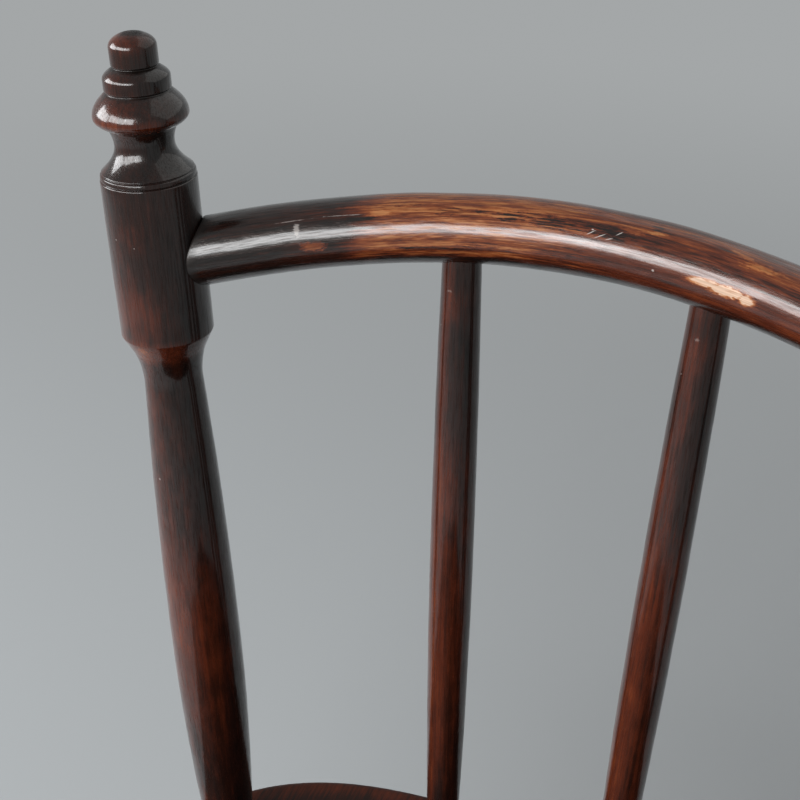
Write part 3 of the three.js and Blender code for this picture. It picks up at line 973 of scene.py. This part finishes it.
def allMarks(sheet, marks, ragged):
    # For each kind of mark, the strongest mask at every place
    place = sheet.add("UVMap", {"uv_map": "place"})
    axes = sheet.add("SeparateXYZ", {}, {0: place})
    along = axes * (1 / millimetre)
    around = Signal(sheet, axes.socket.node.outputs[1]) * (1 / millimetre)
    masks = {}
    for kind, listed in marks.items():
        for mark in listed:
            mask = markMask(sheet, along, around, ragged, mark)
            masks[kind] = sheet.maths("MAXIMUM", masks[kind], mask) if kind in masks else mask
    return masks


def stainedWood(name, look, marks=None):
    # Wood under a dark varnish. The cover attribute says how much finish is left. Streaks along the
    # grain, blotches, small chips and marks are taken off it, and a ramp turns what is left into colour.
    sheet = Sheet(bpy.data.materials.new(name))
    grain, cover, crease, fray = (
        sheet.add("Attribute", {"attribute_name": field}, output=output)
        for field, output in (("grain", "Vector"), ("cover", "Fac"), ("crease", "Fac"), ("fray", "Fac"))
    )

    def pattern(kind):
        scale, alongGrain, detail, rough, distortion = patterns[kind]
        place = sheet.add("VectorMath", {"operation": "MULTIPLY"}, {0: grain, 1: (1, 1, alongGrain)})
        values = {"Vector": place, "Scale": scale, "Detail": detail, "Roughness": rough}
        return sheet.add("TexNoise", {}, {**values, "Distortion": distortion})

    fibres, streaks, dashes = pattern("fibres"), pattern("streaks"), pattern("dashes")
    frays = (streaks - 0.5) * look["streaks"] + (fibres - 0.5) * look["fibres"]
    frays = frays + (dashes - 0.5) * look["dashes"]
    left = cover + frays * fray + (pattern("blotches") - 0.5) * look["blotches"]
    left = left + (pattern("mottles") - 0.5) * look["mottles"]
    bare = sheet.rise(pattern("chips"), *look["chips"]) * look["chipDepth"]
    if marks:
        masks = allMarks(sheet, marks, pattern("ragged"))
        # Dark marks break up into dashes, and bare ones keep the wood's fibres
        left = left + masks["dark"] * sheet.rise(dashes + fibres, *look["darkBroken"])
        bareShare, bareFibres = look["bareFibres"]
        bare = sheet.maths("MAXIMUM", bare, masks["worn"] * (bareShare + fibres * bareFibres))
    # Only a deep mark reaches bare wood, and a light one stops at its orange stain
    least = look["leastLeft"] * (1 - sheet.rise(bare, *look["deep"]))
    left = sheet.maths("MAXIMUM", left - bare, least) + crease * look["creaseKeeps"]
    left = sheet.clamp(left, 0.0, 1.0)
    colour = sheet.add("ValToRGB", {"stops": finishStops}, {"Fac": left})
    # The wood itself varies along its fibres, which shows most where the finish is thin
    spread = zip(("From Min", "From Max", "To Min", "To Max"), look["woodTones"])
    tone = sheet.add("MapRange", {}, {"Value": fibres, **dict(spread)})
    colour = sheet.add("VectorMath", {"operation": "SCALE"}, {0: colour, "Scale": tone})
    # A few of the cells over the wood hold a pale speck in their middle
    cells = sheet.add("TexVoronoi", {}, {"Vector": grain, "Scale": look["cellScale"]})
    cellColour = Signal(sheet, cells.socket.node.outputs["Color"])
    chance = sheet.add("SeparateColor", {}, {0: cellColour})
    specks = (1 - sheet.rise(cells, *look["speckEdge"])) * sheet.rise(chance, *look["speckShare"])
    if marks:
        specks = sheet.maths("MAXIMUM", specks * look["speckStrength"], masks["pale"])
    colour = sheet.blend(specks, colour, look["speckColour"])
    # Painted shade: creases, and the rail's ends where they meet the drums, are blended towards near black
    colour = sheet.blend(crease * look["creaseShade"], colour, look["creaseShadeColour"])

    # Gloss: the whole varnish shines, bare wood and grimy creases are duller, and fine rubbing along
    # the grain breaks the shine into streaks.
    rubbed = pattern("rubbed")
    bareness = 1 - sheet.rise(left, *look["glossFrom"])
    roughness = look["roughness"] + bareness * look["bareRoughness"] + crease * look["creaseRoughness"]
    roughness = roughness + sheet.rise(rubbed, *look["rubbedDull"]) * look["rubbedRoughness"]
    roughness = roughness + specks * look["speckRoughness"]
    streaked = sheet.rise(rubbed, *look["rubbedCoat"]) * look["coatStreaks"]
    coat = look["coat"] * (look["coatTop"] - streaked)
    coat = coat - bareness * look["bareCoatLoss"] - crease * look["creaseCoatLoss"]
    relief = look["relief"]
    height = (fibres - 0.5) * relief["fibres"] + (rubbed - 0.5) * relief["rubbed"]
    height = height + left * relief["finish"] - specks * relief["specks"]
    height = height + (pattern("lumps") - 0.5) * look["lumps"]
    sizes = {"Strength": look["bump"], "Distance": look["bumpDepth"], "Height": height}
    shader = sheet.add("BsdfPrincipled", {}, {
        "Base Color": colour,
        "Roughness": sheet.clamp(roughness, 0.05, 1.0),
        "Normal": sheet.add("Bump", {}, sizes),
        "Coat Weight": sheet.clamp(coat, 0.0, 1.0),
        "Coat Roughness": look["coatRoughness"],
        "Coat IOR": 1.5,
        "IOR": 1.5,
        "Specular IOR Level": look["specular"],
        "Specular Tint": (*look["glossTint"], 1),
    })
    sheet.add("OutputMaterial", {}, {"Surface": shader})
    return sheet.owner


darkLook = {
    # how far each pattern moves the finish
    "streaks": 0.85,
    "fibres": 0.60,
    "dashes": 0.45,
    "mottles": 0.22,
    "blotches": 0.24,
    "chips": (0.76, 0.81),  # they fade in where their pattern rises between these
    "chipDepth": 0.30,
    "darkBroken": (0.80, 1.20),
    "bareFibres": (0.70, 0.55),  # the least share of a worn mark, and what the fibres add to it
    "deep": (0.35, 0.60),  # marks over the second reach bare wood, and those under the first leave this
    "leastLeft": 0.10,
    "woodTones": (0.3, 0.7, 0.66, 1.28),  # fibres between the first two take the wood between the others
    "cellScale": 0.085,
    "speckShare": (0.945, 0.955),  # the share of the cells that hold none
    "speckEdge": (0.028, 0.05),
    "speckStrength": 0.40,
    "speckColour": (0.46, 0.41, 0.38),
    # painted shade in creases and at the rail's joints, and the colour of that shade
    "creaseShade": 0.6,
    "creaseShadeColour": (0.0065, 0.0042, 0.0034),
    "creaseKeeps": 0.2,
    # gloss
    "roughness": 0.21,
    "bareRoughness": 0.20,
    "rubbedRoughness": 0.12,
    "creaseRoughness": 0.25,
    "speckRoughness": 0.2,
    "glossFrom": (0.02, 0.42),  # bare wood below the first, and the varnish's gloss from the second on
    "rubbedDull": (0.42, 0.75),
    "rubbedCoat": (0.40, 0.68),
    "coat": 0.62,
    "coatTop": 1.2,
    "coatStreaks": 0.55,
    "bareCoatLoss": 0.35,
    "creaseCoatLoss": 0.5,
    "coatRoughness": 0.10,
    "specular": 0.20,
    "glossTint": (1.0, 0.90, 0.84),
    # unevenness that only the light shows
    "relief": {"fibres": 0.28, "rubbed": 0.34, "finish": 0.30, "specks": 0.30},
    "lumps": 0.9,
    "bump": 0.32,
    "bumpDepth": 0.0004,  # metres
}
railLook = {
    **darkLook,
    "streaks": 1.15,
    "fibres": 0.80,
    "dashes": 1.35,
    "lumps": 1.9,
    "chips": (0.86, 0.91),
    "roughness": 0.24,
    "coat": 0.82,
    "coatStreaks": 0.60,
    "coatRoughness": 0.13,
    "specular": 0.30,
}
postLook = {**darkLook, "streaks": 0.55, "fibres": 0.50, "mottles": 0.34, "lumps": 1.3, "coat": 0.74}
seatLook = {**darkLook, "dashes": 0.6, "roughness": 0.52, "coat": 0.0, "specular": 0.26}

materials = {
    "rail": stainedWood("worn_rail_varnish", railLook, railMarks),
    "post": stainedWood("dark_post_varnish", postLook, postMarks),
    "spindle": stainedWood("dark_spindle_varnish", darkLook, spindleMarks),
    "leg": stainedWood("scuffed_leg_varnish", darkLook),
    "stretcher": stainedWood("rubbed_stretcher_varnish", {**darkLook, "streaks": 0.5, "dashes": 0.4}),
    "seat": stainedWood("sat_on_seat_varnish", seatLook),
}
print("materials made")

made = [
    (makePost("left_post_turned", -1, 11), "left_back_post", "post"),
    (makePost("right_post_turned", 1, 12), "right_back_post", "post"),
    (makeRail("crest_rail_bent", 7), "crest_rail", "rail"),
    (makeSpindle("left_spindle_turned", -spindle["spacing"] / 2, 21), "spindle_1", "spindle"),
    (makeSpindle("right_spindle_turned", spindle["spacing"] / 2, 22), "spindle_2", "spindle"),
    (makeSeat("seat_plank", 31), "seat", "seat"),
]
for order, node in enumerate(leg["ends"]):
    made.append((makeLeg(node + "_turned", node, 41 + order), node, "leg"))
for order, node in enumerate(stretcher["between"]):
    made.append((makeStretcher(node + "_turned", node, 51 + order), node, "stretcher"))
for piece, node, material in made:
    piece.data.materials.append(materials[material])
    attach(piece, "root")
    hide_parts(node)
print("pieces made:", len(made))

studio = {
    "floorColour": (0.37, 0.38, 0.385),
    "backColour": (0.37, 0.385, 0.39),
    "fadeFrom": 0.9,  # metres from the chair, where the floor fades into the plain background
    "fadeTo": 2.6,
    "floorSize": 24,
    "floorLevel": -0.0004,
    "worldStrength": 0.15,
    "worldColour": (0.95, 0.98, 1.0),
    "aim": (-0.05, 0.17, 0.80),
    # each softbox: its azimuth and elevation, its distance, its size, its brightness and its colour
    "softboxes": {
        "left_window": (-104.0, 13, 3.2, (2.15, 1.50), 9.0, (0.95, 0.98, 1.0)),
        "front_window": (-146.5, 20, 3.2, (2.35, 1.42), 9.5, (0.96, 0.985, 1.0)),
        "window_end": (-178.0, 22, 3.2, (1.25, 1.45), 10.0, (0.95, 0.98, 1.0)),
        "back_fill": (48.0, 42, 3.2, (6.0, 4.0), 0.45, (1.0, 0.98, 0.95)),
    },
    "cameraPlace": (0.121824, -0.318968, 1.081594),
    "cameraPitch": 34.37,
    "cameraTurn": 21.92,
    "lens": 63.58,
    "sensor": 36,
    "nearest": 0.01,
}


def seenRays(sheet):
    # 1 for what is seen straight, mirrored or through glass, and 0 for what only lights
    seen = sheet.add("LightPath", output="Is Camera Ray")
    for ray in ("Is Glossy Ray", "Is Transmission Ray"):
        seen = sheet.maths("MAXIMUM", seen, sheet.add("LightPath", output=ray))
    return seen


bpy.ops.mesh.primitive_plane_add(size=studio["floorSize"], location=(0, 0, studio["floorLevel"]))
floor = bpy.context.object
floor.name = "floor"
floorSheet = Sheet(bpy.data.materials.new("plain_pale_floor"))
floorShader = floorSheet.add("BsdfPrincipled", {}, {
    "Base Color": (*studio["floorColour"], 1),
    "Roughness": 0.9,
    "Specular IOR Level": 0.0,
})
# Far from the chair, what is seen, mirrored or seen through glass is one plain colour instead of
# the floor's uneven light
floorPlace = floorSheet.add("TexCoord", output="Object")
away = floorSheet.add("VectorMath", {"operation": "LENGTH"}, {0: floorPlace}, "Value")
plain = floorSheet.add("Emission", {}, {"Color": (*studio["backColour"], 1), "Strength": 1.0})
faded = seenRays(floorSheet) * floorSheet.rise(away, studio["fadeFrom"], studio["fadeTo"])
floorSurface = floorSheet.add("MixShader", {}, {0: faded, 1: floorShader, 2: plain})
floorSheet.add("OutputMaterial", {}, {"Surface": floorSurface})
floor.data.materials.append(floorSheet.owner)

sky = Sheet(bpy.data.worlds.new("studio"))
bpy.context.scene.world = sky.owner
lit = {"Color": (*studio["worldColour"], 1), "Strength": studio["worldStrength"]}
light = sky.add("Background", {}, lit)
back = sky.add("Background", {}, {"Color": (*studio["backColour"], 1)})
skySurface = sky.add("MixShader", {}, {0: seenRays(sky), 1: light, 2: back})
sky.add("OutputWorld", {}, {"Surface": skySurface})

aim = Vector(studio["aim"])
for name, (azimuth, elevation, distance, size, brightness, colour) in studio["softboxes"].items():
    turn, lift = math.radians(azimuth), math.radians(elevation)
    towards = Vector((math.sin(turn) * math.cos(lift), math.cos(turn) * math.cos(lift), math.sin(lift)))
    data = bpy.data.lights.new(name, "AREA")
    data.shape = "RECTANGLE"
    data.size, data.size_y = size
    data.energy = brightness * math.pi * size[0] * size[1]
    data.color = colour
    softbox = bpy.data.objects.new(name, data)
    bpy.context.collection.objects.link(softbox)
    softbox.location = aim + towards * distance
    softbox.rotation_euler = (-towards).to_track_quat("-Z", "Y").to_euler()
    softbox.visible_camera = False

cameraData = bpy.data.cameras.new("camera")
cameraData.sensor_width = studio["sensor"]
cameraData.lens = studio["lens"]
cameraData.clip_start = studio["nearest"]
camera = bpy.data.objects.new("camera", cameraData)
bpy.context.collection.objects.link(camera)
camera.location = studio["cameraPlace"]
camera.rotation_euler = (math.radians(90 - studio["cameraPitch"]), 0, math.radians(studio["cameraTurn"]))
bpy.context.scene.camera = camera
bpy.context.scene.view_settings.view_transform = "Standard"
print("studio ready")
